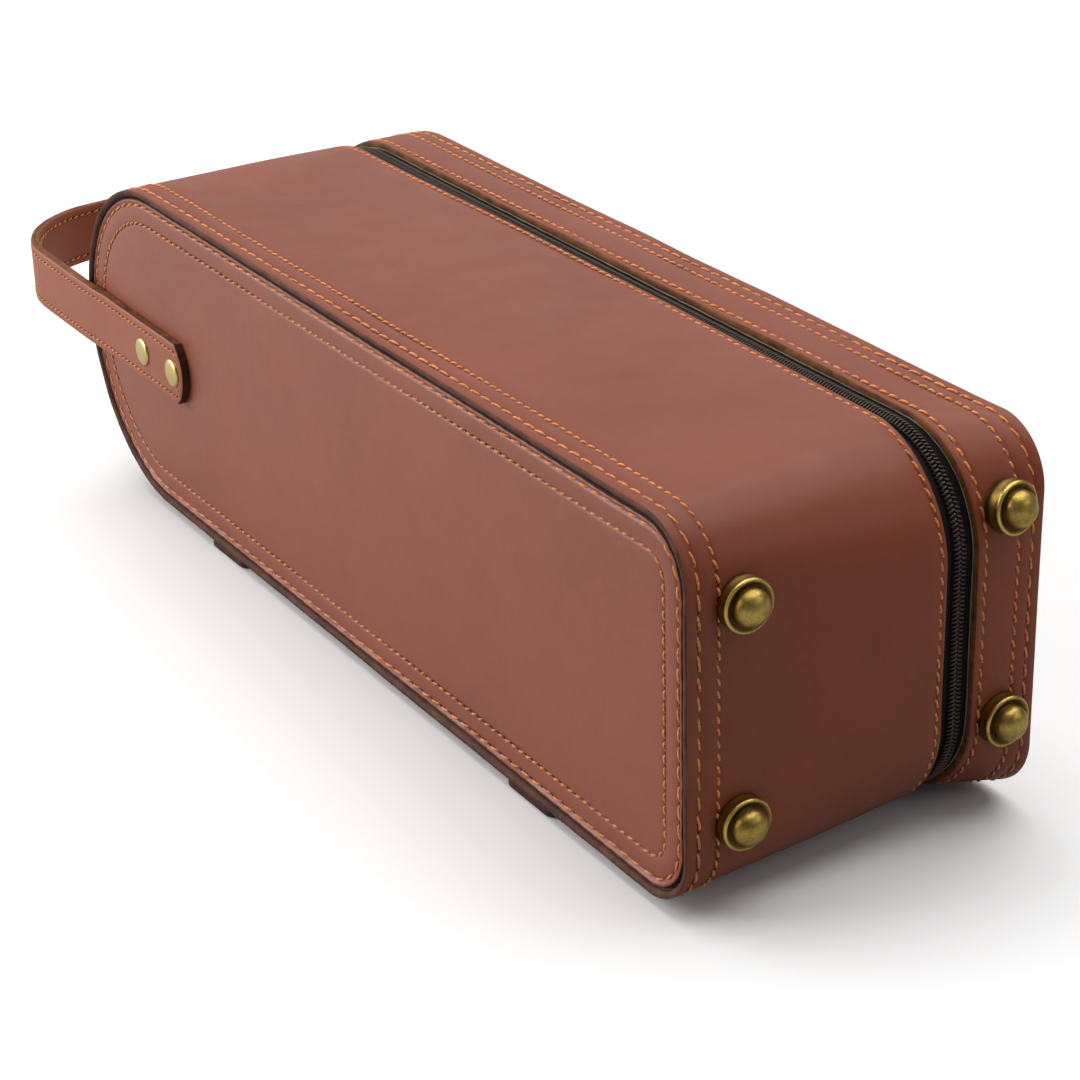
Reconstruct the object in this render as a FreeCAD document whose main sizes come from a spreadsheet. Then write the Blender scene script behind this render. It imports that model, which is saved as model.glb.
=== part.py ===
"""Rigid leather bottle case: a gusseted body and a hinged, zipped lid, lying on its hinge side.

Frame, in millimetres: +X runs from the round top end with the handle to the base with the feet,
-Y is the front face, +Y the lid, and +Z is up from the face that the case rests on. The origin
is on the underside of the strap nearer the round end, which lies flat on the rest plane.
"""
import FreeCAD
import Part
import Sketcher
import math
import os

Vector = FreeCAD.Vector
doc = FreeCAD.newDocument("bottle_case")

DRIVING_SIZES = {
    "case_length": 335, "case_width": 100, "case_depth": 102.4, "panel_recess": 1.0,
    "leather": 2.2, "panel_leather": 2.4, "panel_board": 1.6, "board": 1.4, "lining": 0.7,
    "corner_face": 16, "corner_zip": 29,
    "zip_centre": 78.85, "zip_opening": 8.1, "halves_gap": 1.0,
    "tape": 0.6, "tape_reach": 15, "lid_tape": 3, "coil_depth": 0.9, "coil_width": 3.2,
    "foot_radius": 6.9, "foot_rim": 3.4, "foot_dome": 7.8, "foot_ring": 4.9, "foot_groove": 0.2,
    "foot_bevel": 0.3,
    "foot_spacing": 56, "front_feet_depth": 15.0, "rear_feet_depth": 91.7,
    "front_feet_mid": 51.4, "rear_feet_mid": 54.8,
    "shank_radius": 1.6, "washer_radius": 4.2, "washer": 0.8, "flat_seat": 0.2,
    "front_round_seat": 0.9, "rear_round_seat": 3.5,
    "handle_width": 19, "handle_layer": 1.5, "handle_reach": 69.5, "handle_bend": 38,
    "handle_leg": 73.5, "handle_tip": 6, "rivet_near": 46.1, "rivet_far": 67.1,
    "rivet_radius": 4.2, "rivet_edge": 0.6, "rivet_dome": 1.5,
    "tab_thickness": 2.3, "tab_width": 23, "tab_length": 70, "tab_near": 90, "tab_far": 263,
    "tab_rivet_inset": 9.8, "flush_radius": 3.6, "flush_head": 0.7,
    "slider_width": 7.0, "slider_length": 11, "slider_plate": 1.2, "slider_neck": 0.4,
    "slider_clearance": 0.3, "arch_height": 2.6, "arch_width": 1.6, "arch_length": 8.6,
    "arch_bar": 0.8, "pin_radius": 0.5, "puller_width": 6.4, "puller_length": 26,
    "puller_window": 5.6, "puller_eye": 2.8, "strap_start": 0.5,
}


class Size:
    """A length that carries its number and the sheet expression behind it."""

    def __init__(self, number, text=None):
        self.number = float(number)
        self.text = text or "({:g})".format(number)

    def joined(self, other, sign, work):
        right = other if isinstance(other, Size) else Size(other)
        return Size(work(self.number, right.number), "({} {} {})".format(self.text, sign, right.text))

    def __add__(self, other):
        return self.joined(other, "+", lambda a, b: a + b)

    def __sub__(self, other):
        return self.joined(other, "-", lambda a, b: a - b)

    def __mul__(self, other):
        return self.joined(other, "*", lambda a, b: a * b)

    def __truediv__(self, other):
        return self.joined(other, "/", lambda a, b: a / b)

    def __neg__(self):
        return Size(0) - self


def make_sheet(values):
    """The spreadsheet of driving sizes; returns a Size for each alias."""
    sheet = doc.addObject("Spreadsheet::Sheet", "dims")
    found = {}
    for row, (name, number) in enumerate(values.items(), start=1):
        sheet.set("A{}".format(row), name)
        sheet.set("B{}".format(row), str(number))
        sheet.setAlias("B{}".format(row), name)
        found[name] = Size(number, "dims." + name)
    doc.recompute()
    return found


S = make_sheet(DRIVING_SIZES)
ZERO = Size(0)

# Places worked out from the driving sizes.
TOP_END = -S["tab_near"]
BASE_END = TOP_END + S["case_length"]
HALF_WIDTH = S["case_width"] / 2
MID_HEIGHT = S["tab_thickness"] + HALF_WIDTH
ROUND_CENTRE = TOP_END + HALF_WIDTH
CASE_EDGE = S["zip_centre"] - S["zip_opening"] / 2
LID_EDGE = S["zip_centre"] + S["zip_opening"] / 2
CASE_MEETING = S["zip_centre"] - S["halves_gap"] / 2
LID_MEETING = S["zip_centre"] + S["halves_gap"] / 2
PANEL_BACK = S["panel_recess"] + S["panel_leather"]
BOARD_BACK = PANEL_BACK + S["panel_board"]
PANEL_STACK = BOARD_BACK + S["lining"]
WALL_STACK = S["leather"] + S["board"] + S["lining"]
SEWING_GAP = Size(0.1)


def at_depth(depth):
    """World Y of a depth counted from the front face."""
    return depth - S["case_depth"] / 2


def corner_at(depth):
    """Radius of the base corners at a depth: they round off towards the zip on both halves."""
    growth = S["corner_zip"] - S["corner_face"]
    if depth.number <= S["zip_centre"].number:
        return S["corner_face"] + growth * depth / CASE_EDGE
    return S["corner_face"] + growth * (S["case_depth"] - depth) / (S["case_depth"] - LID_EDGE)


def bind(item, prop, size):
    item.setExpression(prop, size.text)


def new_body(label):
    body = doc.addObject("PartDesign::Body", label)
    body.Label = label
    return body


def new_sketch(body, role, across, up, along):
    """A sketch on one of the body's origin planes, its origin moved by three sizes."""
    plane = next(item for item in body.Origin.OriginFeatures if item.Role == role)
    sketch = body.newObject("Sketcher::SketchObject", body.Label + "_sketch")
    sketch.AttachmentSupport = [(plane, "")]
    sketch.MapMode = "FlatFace"
    sketch.AttachmentOffset = FreeCAD.Placement(
        Vector(across.number, up.number, along.number), FreeCAD.Rotation())
    bind(sketch, "AttachmentOffset.Base.x", across)
    bind(sketch, "AttachmentOffset.Base.y", up)
    bind(sketch, "AttachmentOffset.Base.z", along)
    return sketch


def face_sketch(body, depth):
    """A sketch facing the front of the case, centred on its height."""
    return new_sketch(body, "XZ_Plane", ZERO, MID_HEIGHT, -at_depth(depth))


def fix_coordinate(sketch, kind, place, size, name):
    """Hold one coordinate of a sketch point, on the axis where the size is nothing."""
    geometry, point = place
    if size.number == 0 and size.text == ZERO.text:
        axis = -2 if kind == "DistanceX" else -1
        sketch.addConstraint(Sketcher.Constraint("PointOnObject", geometry, point, axis))
        return
    index = sketch.addConstraint(Sketcher.Constraint(kind, -1, 1, geometry, point, size.number))
    sketch.renameConstraint(index, name)
    bind(sketch, "Constraints." + name, size)


def draw_loop(sketch, corners, arc_centres=None):
    """A closed loop through corners; arc_centres maps a side's number to (x, y, clockwise)."""
    arc_centres = arc_centres or {}
    tag = "n{}_".format(sketch.GeometryCount)
    starts, ends = [], []
    for side, corner in enumerate(corners):
        following = corners[(side + 1) % len(corners)]
        first = Vector(corner[0].number, corner[1].number, 0)
        last = Vector(following[0].number, following[1].number, 0)
        if side not in arc_centres:
            index = sketch.addGeometry(Part.LineSegment(first, last))
            starts.append((index, 1))
            ends.append((index, 2))
            continue
        centre_x, centre_y, clockwise = arc_centres[side]
        centre = Vector(centre_x.number, centre_y.number, 0)
        if clockwise:
            first, last = last, first
        circle = Part.Circle(centre, Vector(0, 0, 1), (first - centre).Length)
        angles = [math.atan2((end - centre).y, (end - centre).x) for end in (first, last)]
        index = sketch.addGeometry(Part.ArcOfCircle(circle, angles[0], angles[1]))
        starts.append((index, 2 if clockwise else 1))
        ends.append((index, 1 if clockwise else 2))
        fix_coordinate(sketch, "DistanceX", (index, 3), centre_x, "{}c{}".format(tag, side))
    for side, corner in enumerate(corners):
        sketch.addConstraint(Sketcher.Constraint("Coincident", *ends[side - 1], *starts[side]))
        fix_coordinate(sketch, "DistanceX", starts[side], corner[0], "{}x{}".format(tag, side))
        fix_coordinate(sketch, "DistanceY", starts[side], corner[1], "{}y{}".format(tag, side))


def draw_circle(sketch, across, up, radius):
    tag = "n{}_".format(sketch.GeometryCount)
    centre = Vector(across.number, up.number, 0)
    index = sketch.addGeometry(Part.Circle(centre, Vector(0, 0, 1), radius.number))
    fix_coordinate(sketch, "DistanceX", (index, 3), across, tag + "x")
    fix_coordinate(sketch, "DistanceY", (index, 3), up, tag + "y")
    held = sketch.addConstraint(Sketcher.Constraint("Radius", index, radius.number))
    sketch.renameConstraint(held, tag + "r")
    bind(sketch, "Constraints." + tag + "r", radius)


def draw_outline(sketch, inset, corner):
    """The case seen from the front: a round top end, straight sides and rounded base corners."""
    half = HALF_WIDTH - inset
    base = BASE_END - inset
    radius = corner - inset
    corners = [(ROUND_CENTRE, -half), (base - radius, -half), (base, radius - half),
               (base, half - radius), (base - radius, half), (ROUND_CENTRE, half)]
    arcs = {1: (base - radius, radius - half, False), 3: (base - radius, half - radius, False),
            5: (ROUND_CENTRE, ZERO, False)}
    draw_loop(sketch, corners, arcs)


def draw_box(sketch, low, high):
    draw_loop(sketch, [(low[0], low[1]), (high[0], low[1]), (high[0], high[1]), (low[0], high[1])])


def pad(body, sketch, length, backwards=False):
    feature = body.newObject("PartDesign::Pad", body.Label + "_pad")
    feature.Profile = sketch
    feature.Length = length.number
    bind(feature, "Length", length)
    feature.Reversed = backwards
    doc.recompute()
    return feature


def pocket(body, sketch, backwards=False, length=None, both_ways=False):
    """Cut the sketch through the body, one way or both ways from its plane, or to a length."""
    volume = body.Shape.Volume
    feature = body.newObject("PartDesign::Pocket", body.Label + "_pocket")
    feature.Profile = sketch
    feature.Type = 1 if length is None else 0
    if length is not None:
        feature.Length = length.number
        bind(feature, "Length", length)
    feature.Reversed = backwards
    feature.Midplane = both_ways
    doc.recompute()
    if body.Shape.Volume >= volume - 0.01:
        raise RuntimeError("a pocket cut nothing from " + body.Label)
    return feature


def plate(label, front, back, inset, holes):
    """A flat sheet with the case's outline between two depths, with holes (x, up, radius)."""
    body = new_body(label)
    sketch = face_sketch(body, front)
    deeper = back if front.number < S["zip_centre"].number else front
    draw_outline(sketch, inset, corner_at(deeper))
    for hole in holes:
        draw_circle(sketch, *hole)
    pad(body, sketch, back - front, backwards=True)
    return body


def ring(label, front, back, inset, thickness):
    """A band that follows the case's outline between two depths."""
    body = new_body(label)
    for kind, depth_inset in (("AdditiveLoft", inset), ("SubtractiveLoft", inset + thickness)):
        sections = []
        for depth in (front, back):
            sketch = face_sketch(body, depth)
            draw_outline(sketch, depth_inset, corner_at(depth))
            sections.append(sketch)
        doc.recompute()
        loft = body.newObject("PartDesign::" + kind, label + "_loft")
        loft.Profile = sections[0]
        loft.Sections = [sections[1]]
        loft.Ruled = True
        doc.recompute()
    return body


def foot_places(depth, middle):
    """(across, up) of a pair of feet in a sketch on the YZ plane at the case's middle height."""
    offset = middle - HALF_WIDTH
    half = S["foot_spacing"] / 2
    return [(at_depth(depth), offset + half), (at_depth(depth), offset - half)]


CASE_FEET = foot_places(S["front_feet_depth"], S["front_feet_mid"])
LID_FEET = foot_places(S["rear_feet_depth"], S["rear_feet_mid"])
TAB_PLACES = [ZERO, S["tab_far"] - S["tab_near"]]
TAB_FRONT = at_depth(S["strap_start"])
TAB_RIVET_Y = [TAB_FRONT + S["tab_rivet_inset"], TAB_FRONT + S["tab_length"] - S["tab_rivet_inset"]]
HANDLE_RIVET_X = [TOP_END + S["rivet_near"], TOP_END + S["rivet_far"]]
HANDLE_HOLES = [(x, ZERO, S["shank_radius"]) for x in HANDLE_RIVET_X]


def drill_base(body, places):
    """Holes for the shanks of a pair of feet through the base wall."""
    sketch = new_sketch(body, "YZ_Plane", ZERO, MID_HEIGHT, ZERO)
    for across, up in places:
        draw_circle(sketch, across, up, S["shank_radius"])
    pocket(body, sketch, backwards=True)


def drill_underside(body):
    """Holes for the shanks of the tab rivets through the underside wall."""
    sketch = new_sketch(body, "XY_Plane", ZERO, ZERO, MID_HEIGHT)
    for x in TAB_PLACES:
        for y in TAB_RIVET_Y:
            draw_circle(sketch, x, y, S["shank_radius"])
    pocket(body, sketch)


def open_underside(body, depth):
    """Take the straight run of the underside away, where the leather hinge lies instead."""
    sketch = face_sketch(body, depth)
    low = (ROUND_CENTRE, -HALF_WIDTH * 1.1)
    high = (BASE_END - S["corner_zip"], -HALF_WIDTH / 2)
    draw_box(sketch, low, high)
    pocket(body, sketch, both_ways=True)


def build_case_shell():
    """Front panel sewn inside the gusset's edge, then board and lining behind each of them."""
    inner = S["leather"] + SEWING_GAP
    plate("front_panel", S["panel_recess"], PANEL_BACK, inner, HANDLE_HOLES)
    plate("front_board", PANEL_BACK, BOARD_BACK, inner, HANDLE_HOLES)
    plate("front_lining", BOARD_BACK, PANEL_STACK, inner, HANDLE_HOLES)
    board_end = CASE_MEETING - S["tape_reach"] - SEWING_GAP
    lining_end = CASE_EDGE - S["leather"]
    layers = (("case_gusset", ZERO, CASE_EDGE, ZERO, S["leather"]),
              ("case_gusset_board", PANEL_STACK, board_end, S["leather"], S["board"]),
              ("case_gusset_lining", PANEL_STACK, lining_end, S["leather"] + S["board"], S["lining"]))
    for label, front, back, inset, thickness in layers:
        body = ring(label, front, back, inset, thickness)
        drill_base(body, CASE_FEET)
        drill_underside(body)


def build_lid_shell():
    """The lid is the same stack from the rear: gusset edge, panel, board and lining."""
    inner = S["leather"] + SEWING_GAP
    depth = S["case_depth"]
    plate("rear_panel", depth - PANEL_BACK, depth - S["panel_recess"], inner, HANDLE_HOLES)
    plate("rear_board", depth - BOARD_BACK, depth - PANEL_BACK, inner, HANDLE_HOLES)
    plate("rear_lining", depth - PANEL_STACK, depth - BOARD_BACK, inner, HANDLE_HOLES)
    lining_front = depth - PANEL_STACK
    tape_end = LID_EDGE + S["lid_tape"] + SEWING_GAP
    layers = (("lid_gusset", LID_EDGE, depth, ZERO, S["leather"]),
              ("lid_gusset_board", tape_end, lining_front, S["leather"], S["board"]),
              ("lid_gusset_lining", LID_EDGE + S["board"], lining_front, S["leather"] + S["board"],
               S["lining"]))
    for label, front, back, inset, thickness in layers:
        drill_base(ring(label, front, back, inset, thickness), LID_FEET)


def build_zip():
    """Tape and coil on each half, round the base, the upper side and the round end."""
    tape_inset = S["leather"] + SEWING_GAP / 2
    coil_height = S["leather"] - S["coil_depth"]
    bands = (("zip_tape_case", CASE_MEETING - S["tape_reach"], CASE_MEETING, tape_inset, S["tape"]),
             ("zip_tape_lid", LID_MEETING, LID_EDGE + S["lid_tape"], tape_inset, S["tape"]),
             ("zip_coil_case", CASE_MEETING - S["coil_width"], CASE_MEETING, S["coil_depth"],
              coil_height),
             ("zip_coil_lid", LID_MEETING, LID_MEETING + S["coil_width"], S["coil_depth"],
              coil_height))
    for label, front, back, inset, thickness in bands:
        open_underside(ring(label, front, back, inset, thickness), front)


def box(label, low, high):
    """A Part box between two corners, each a triple of sizes."""
    item = doc.addObject("Part::Box", label)
    item.Label = label
    for prop, axis in (("Length", 0), ("Width", 1), ("Height", 2)):
        bind(item, prop, high[axis] - low[axis])
        bind(item, "Placement.Base." + "xyz"[axis], low[axis])
    return item


def build_hinge():
    """The leather of the underside runs on across the gap as the hinge; its fold is mid-gap."""
    ends = (ROUND_CENTRE, BASE_END - S["corner_zip"])
    floor, ceiling = S["tab_thickness"], S["tab_thickness"] + S["leather"]
    strips = (("hinge_strip_case", CASE_EDGE, CASE_MEETING), ("hinge_strip_lid", LID_MEETING, LID_EDGE))
    for label, front, back in strips:
        box(label, (ends[0], at_depth(front), floor), (ends[1], at_depth(back), ceiling))


def turned(label, corners, arc_centres, places, turn):
    """A turned piece, revolved about its own Z, repeated at places after a turn; one node."""
    copies = []
    for number, place in enumerate(places):
        body = new_body(label if len(places) == 1 else "{}_{}".format(label, number + 1))
        sketch = new_sketch(body, "XZ_Plane", ZERO, ZERO, ZERO)
        draw_loop(sketch, corners, arc_centres)
        feature = body.newObject("PartDesign::Revolution", body.Label + "_turn")
        feature.Profile = sketch
        feature.ReferenceAxis = (sketch, ["V_Axis"])
        feature.Angle = 360
        body.Placement = FreeCAD.Placement(Vector(*[size.number for size in place]), turn)
        for axis in range(3):
            bind(body, "Placement.Base." + "xyz"[axis], place[axis])
        copies.append(body)
    doc.recompute()
    if len(copies) > 1:
        group = doc.addObject("Part::Compound", label)
        group.Label = label
        group.Links = copies
        doc.recompute()
        return group
    return copies[0]


TO_BASE = FreeCAD.Rotation(Vector(0, 1, 0), 90)
TO_FRONT = FreeCAD.Rotation(Vector(1, 0, 0), 90)
TO_REAR = FreeCAD.Rotation(Vector(1, 0, 0), -90)
TO_UNDERSIDE = FreeCAD.Rotation(Vector(1, 0, 0), 180)


def foot_profile(seat):
    """Half section of a foot: shank through wall and washer, rim, sunk ring, domed middle."""
    shank, rim = S["shank_radius"], S["foot_radius"]
    reach = WALL_STACK + S["washer"] + seat
    bevel = S["foot_bevel"]
    ring_foot = S["foot_rim"] - S["foot_groove"]
    rise = S["foot_dome"] - ring_foot
    drop = (S["foot_ring"] * S["foot_ring"] - rise * rise) / (rise * 2)
    corners = [(ZERO, -reach), (shank, -reach), (shank, ZERO), (rim - bevel, ZERO),
               (rim, bevel), (rim, S["foot_rim"] - bevel), (rim - bevel, S["foot_rim"]),
               (S["foot_ring"] + bevel, S["foot_rim"]), (S["foot_ring"], ring_foot),
               (ZERO, S["foot_dome"])]
    return corners, {8: (ZERO, ring_foot - drop, False)}


def washer_profile():
    inner, outer = S["shank_radius"], S["washer_radius"]
    return [(inner, ZERO), (outer, ZERO), (outer, S["washer"]), (inner, S["washer"])]


def build_feet():
    """Four feet; the upper ones sit where the wall rounds off, so their washers lie deeper."""
    halves = (("front", "case", CASE_FEET, S["front_round_seat"]),
              ("rear", "lid", LID_FEET, S["rear_round_seat"]))
    for side, half, places, round_seat in halves:
        spots = []
        for level, (across, up) in zip(("upper", "lower"), places):
            seat = round_seat if level == "upper" else S["flat_seat"]
            corners, arcs = foot_profile(seat)
            spot = (BASE_END, across, MID_HEIGHT + up)
            turned("foot_{}_{}".format(side, level), corners, arcs, [spot], TO_BASE)
            inside = BASE_END - WALL_STACK - S["washer"] - seat
            spots.append((inside, across, MID_HEIGHT + up))
        turned("foot_washers_" + half, washer_profile(), None, spots, TO_BASE)


def strap_layer(label, side, inner, outer):
    """One leather layer of half the handle: side is -1 at the front and +1 at the lid."""
    body = new_body(label)
    sketch = new_sketch(body, "XY_Plane", ZERO, ZERO, MID_HEIGHT - S["handle_width"] / 2)
    tip = TOP_END + S["handle_leg"]
    bridge = TOP_END - S["handle_reach"] + S["handle_layer"] * 2
    face = S["case_depth"] / 2
    bend_x = bridge - S["handle_layer"] * 2 + S["handle_bend"]
    bend_y = face + S["handle_layer"] * 2 - S["handle_bend"]
    meeting = S["halves_gap"] / 2
    corners = [(tip, (face + inner) * side), (bend_x, (face + inner) * side),
               (bridge - inner, bend_y * side), (bridge - inner, meeting * side),
               (bridge - outer, meeting * side), (bridge - outer, bend_y * side),
               (bend_x, (face + outer) * side), (tip, (face + outer) * side)]
    arcs = {1: (bend_x, bend_y * side, side < 0), 5: (bend_x, bend_y * side, side > 0)}
    draw_loop(sketch, corners, arcs)
    base = pad(body, sketch, S["handle_width"])
    ends = [name for name, edge in edges_of(base.Shape) if lies_at_tip(edge, tip.number)]
    rounding = body.newObject("PartDesign::Fillet", label + "_tip")
    rounding.Base = (base, ends)
    bind(rounding, "Radius", S["handle_tip"])
    doc.recompute()
    holes = new_sketch(body, "XZ_Plane", ZERO, MID_HEIGHT, ZERO)
    for hole in HANDLE_HOLES:
        draw_circle(holes, *hole)
    pocket(body, holes, backwards=side < 0)
    return body


def edges_of(shape):
    return [("Edge{}".format(number + 1), edge) for number, edge in enumerate(shape.Edges)]


def lies_at_tip(edge, x):
    """True for the two short edges across the leather at the end of a handle leg."""
    ends = [vertex.Point for vertex in edge.Vertexes]
    at_end = all(abs(point.x - x) < 0.01 for point in ends)
    return at_end and abs(ends[0].z - ends[1].z) < 0.01


def rivet_profile(depth):
    """Half section of a flat-domed rivet with a shank of the given depth."""
    shank, edge, radius = S["shank_radius"], S["rivet_edge"], S["rivet_radius"]
    rise = S["rivet_dome"] - edge
    drop = (radius * radius - rise * rise) / (rise * 2)
    corners = [(ZERO, -depth), (shank, -depth), (shank, ZERO), (radius, ZERO), (radius, edge),
               (ZERO, S["rivet_dome"])]
    return corners, {4: (ZERO, edge - drop, False)}


def build_handle():
    layer = S["handle_layer"]
    for half, side, turn in (("case", -1, TO_FRONT), ("lid", 1, TO_REAR)):
        strap_layer("handle_lining_" + half, side, ZERO, layer)
        strap_layer("handle_outer_" + half, side, layer, layer * 2)
        surface = (S["case_depth"] / 2 + layer * 2) * side
        spots = [(x, surface, MID_HEIGHT) for x in HANDLE_RIVET_X]
        corners, arcs = rivet_profile(layer * 2 + PANEL_STACK)
        turned("handle_rivets_" + half, corners, arcs, spots, turn)
        inside = (S["case_depth"] / 2 - PANEL_STACK - S["washer"]) * side
        backs = [(x, inside, MID_HEIGHT) for x in HANDLE_RIVET_X]
        turned("handle_rivet_backs_" + half, washer_profile(), None, backs, turn)


def build_tabs():
    """Two riveted leather straps across the underside, which the case rests on."""
    holes = [(x, y) for x in TAB_PLACES for y in TAB_RIVET_Y]
    for name, x in zip(("near", "far"), TAB_PLACES):
        body = new_body("underside_strap_" + name)
        sketch = new_sketch(body, "XY_Plane", ZERO, ZERO, ZERO)
        draw_box(sketch, (x - S["tab_width"] / 2, TAB_FRONT),
                 (x + S["tab_width"] / 2, TAB_FRONT + S["tab_length"]))
        for y in TAB_RIVET_Y:
            draw_circle(sketch, x, y, S["shank_radius"])
        pad(body, sketch, S["tab_thickness"])
        sinks = new_sketch(body, "XY_Plane", ZERO, ZERO, ZERO)
        for y in TAB_RIVET_Y:
            draw_circle(sinks, x, y, S["flush_radius"])
        pocket(body, sinks, backwards=True, length=S["flush_head"])
    head, shank = S["flush_radius"], S["shank_radius"]
    reach = S["tab_thickness"] + WALL_STACK
    section = [(ZERO, -reach), (shank, -reach), (shank, -S["flush_head"]), (head, -S["flush_head"]),
               (head, ZERO), (ZERO, ZERO)]
    turned("strap_rivets", section, None, [(x, y, ZERO) for x, y in holes], TO_UNDERSIDE)
    spots = [(x, y, reach + S["washer"]) for x, y in holes]
    turned("strap_rivet_backs", washer_profile(), None, spots, TO_UNDERSIDE)


SLIDER_FACE = TOP_END + S["coil_depth"] - S["slider_clearance"]
SLIDER_TOP = SLIDER_FACE - S["slider_plate"]
PIN_X = SLIDER_TOP - S["slider_clearance"] - S["pin_radius"]
ZIP_Y = at_depth(S["zip_centre"])


def centred_box(label, near_x, far_x, width, low_z, high_z):
    """A box across the zip's centre line, between two places along X and two heights."""
    return box(label, (near_x, ZIP_Y - width / 2, low_z), (far_x, ZIP_Y + width / 2, high_z))


def joined(label, kind, parts):
    """Fuse the parts, or cut the second from the first, under one name."""
    result = doc.addObject("Part::" + kind, label)
    result.Label = label
    if kind == "Cut":
        result.Base, result.Tool = parts
    else:
        result.Shapes = parts
    doc.recompute()
    return result


def build_slider():
    """Two plates and a thin neck round the coil, with an arch that holds the puller."""
    half = S["slider_length"] / 2
    low, high = MID_HEIGHT - half, MID_HEIGHT + half
    under = TOP_END + S["leather"] + S["tape"] + S["slider_clearance"] + SEWING_GAP
    wide = S["slider_width"]
    outer = centred_box("slider_outer", SLIDER_TOP, SLIDER_FACE, wide, low, high)
    inner = centred_box("slider_inner", under, under + S["slider_plate"], wide, low, high)
    neck = centred_box("slider_neck", SLIDER_TOP, under + S["slider_plate"], S["slider_neck"],
                       MID_HEIGHT, high)
    reach = S["arch_length"] / 2
    crown = SLIDER_TOP - S["arch_height"]
    solid = centred_box("arch_solid", crown, SLIDER_TOP, S["arch_width"], MID_HEIGHT - reach,
                        MID_HEIGHT + reach)
    space = centred_box("arch_space", crown + S["arch_bar"], SLIDER_TOP, S["arch_width"] * 2,
                        MID_HEIGHT - reach + S["arch_bar"], MID_HEIGHT + reach - S["arch_bar"])
    arch = joined("slider_arch", "Cut", [solid, space])
    joined("zip_slider", "MultiFuse", [outer, inner, neck, arch])


def build_puller():
    """A flat tab that hangs from a round pin under the slider's arch."""
    half_pin = S["pin_radius"]
    foot = MID_HEIGHT - S["puller_length"]
    tab = centred_box("puller_tab", PIN_X - half_pin, PIN_X + half_pin, S["puller_width"], foot,
                      MID_HEIGHT)
    window = centred_box("puller_gap", PIN_X - half_pin * 2, PIN_X + half_pin * 2,
                         S["puller_eye"], MID_HEIGHT - S["puller_window"],
                         MID_HEIGHT + half_pin)
    arms = joined("puller_arms", "Cut", [tab, window])
    pin = doc.addObject("Part::Cylinder", "puller_pin")
    pin.Label = "puller_pin"
    pin.Placement = FreeCAD.Placement(Vector(0, 0, 0), TO_REAR)
    bind(pin, "Radius", half_pin)
    bind(pin, "Height", S["puller_width"])
    bind(pin, "Placement.Base.x", PIN_X)
    bind(pin, "Placement.Base.y", ZIP_Y - S["puller_width"] / 2)
    bind(pin, "Placement.Base.z", MID_HEIGHT)
    joined("zip_puller", "MultiFuse", [arms, pin])


PARTS = [
    "front_panel", "front_board", "front_lining", "case_gusset", "case_gusset_board",
    "case_gusset_lining", "rear_panel", "rear_board", "rear_lining", "lid_gusset",
    "lid_gusset_board", "lid_gusset_lining", "zip_tape_case", "zip_tape_lid", "zip_coil_case",
    "zip_coil_lid", "hinge_strip_case", "hinge_strip_lid", "foot_front_upper", "foot_front_lower",
    "foot_rear_upper", "foot_rear_lower", "foot_washers_case", "foot_washers_lid",
    "handle_lining_case", "handle_outer_case", "handle_lining_lid", "handle_outer_lid",
    "handle_rivets_case", "handle_rivets_lid", "handle_rivet_backs_case",
    "handle_rivet_backs_lid", "underside_strap_near", "underside_strap_far", "strap_rivets",
    "strap_rivet_backs", "zip_slider", "zip_puller",
]


def write_parts():
    """Check every object, then write one STEP file for each named part."""
    for item in doc.Objects:
        faults = {"Invalid", "Error"} & set(item.State)
        if faults:
            raise RuntimeError("{} is {}".format(item.Label, sorted(faults)))
    os.makedirs("parts", exist_ok=True)
    for label in PARTS:
        item = doc.getObjectsByLabel(label)[0]
        if item.Shape.isNull() or not item.Shape.isValid():
            raise RuntimeError("bad shape in " + label)
        item.Shape.exportStep("parts/{}.step".format(label))


build_case_shell()
build_lid_shell()
build_zip()
build_hinge()
build_feet()
build_handle()
build_tabs()
build_slider()
build_puller()
doc.recompute()
write_parts()
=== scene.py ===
import math
import bmesh
import bpy
import numpy as np
from mathutils import Matrix, Vector


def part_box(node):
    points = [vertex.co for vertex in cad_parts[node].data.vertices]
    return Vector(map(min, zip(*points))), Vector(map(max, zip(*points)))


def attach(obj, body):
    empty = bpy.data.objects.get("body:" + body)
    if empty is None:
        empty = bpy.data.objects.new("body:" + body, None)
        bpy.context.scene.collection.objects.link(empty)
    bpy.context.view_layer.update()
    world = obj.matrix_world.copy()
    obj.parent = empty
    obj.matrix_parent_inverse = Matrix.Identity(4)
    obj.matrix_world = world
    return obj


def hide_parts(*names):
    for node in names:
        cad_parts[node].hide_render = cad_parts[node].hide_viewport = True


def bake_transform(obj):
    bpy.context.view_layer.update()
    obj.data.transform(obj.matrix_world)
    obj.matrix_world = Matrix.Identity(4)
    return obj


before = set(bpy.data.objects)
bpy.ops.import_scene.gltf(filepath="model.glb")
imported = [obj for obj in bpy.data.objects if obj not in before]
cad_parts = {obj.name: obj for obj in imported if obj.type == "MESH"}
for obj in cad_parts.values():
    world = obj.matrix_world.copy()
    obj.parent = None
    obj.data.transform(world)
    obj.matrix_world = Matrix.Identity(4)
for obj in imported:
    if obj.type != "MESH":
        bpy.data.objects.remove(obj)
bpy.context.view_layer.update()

# Sizes below are in millimetres in the frame of the CAD model; meshes are made in metres.
MM = 0.001


def node_box(name):
    low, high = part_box(name)
    return np.array(low) / MM, np.array(high) / MM


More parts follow.
